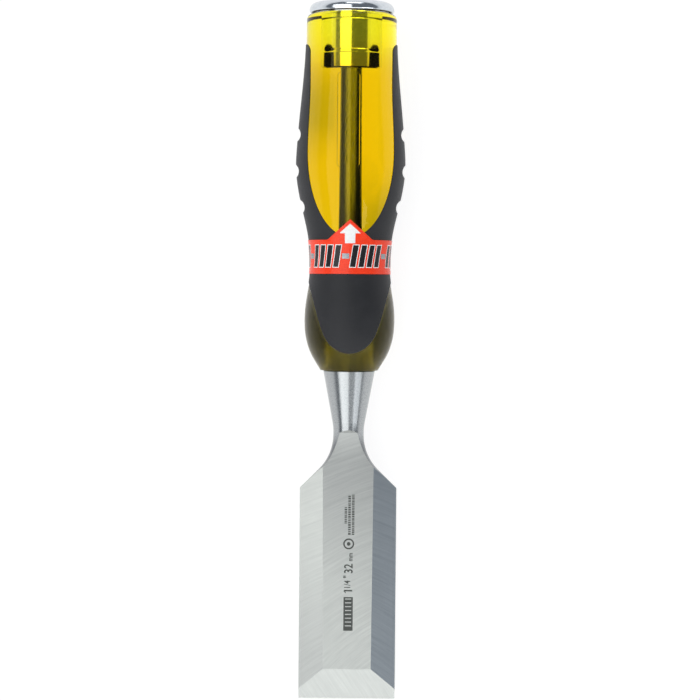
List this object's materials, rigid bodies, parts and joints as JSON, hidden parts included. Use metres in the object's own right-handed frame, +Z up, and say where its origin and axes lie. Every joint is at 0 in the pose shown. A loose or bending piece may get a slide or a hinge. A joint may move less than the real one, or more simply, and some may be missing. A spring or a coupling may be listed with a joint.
{
  "type": "bench chisel",
  "caption": "Bench chisel with a through tang: bevel-edged blade, turned bolster, clear amber handle with a soft black grip, red waist band and domed steel strike cap.",
  "frame": {"origin": "on the bench, under the middle of the bounding box of the tool lying on its handle with the bevelled face up", "axes": "+Y along the tool from the cutting edge to the strike cap, level with the bench; +X across the blade; +Z up, out of the bevelled face. The handle's own axis climbs 3.0 degrees towards the cap, because the belly is thicker than the bulb"},
  "size_m": [0.036, 0.2292, 0.0351],
  "materials": {
    "blade_steel": "ground blade with oblique grinding lines; bolster and neck polished",
    "cap_steel": "polished",
    "core_acetate": "clear amber, polished",
    "grip_rubber": "fine matt texture",
    "label_print": "glossy printed film"
  },
  "bodies": {
    "root": {"blade": "blade_steel", "strike_cap": "cap_steel", "handle_core": "core_acetate", "soft_grip": "grip_rubber", "waist_label": "label_print"}
  },
  "joints": []
}
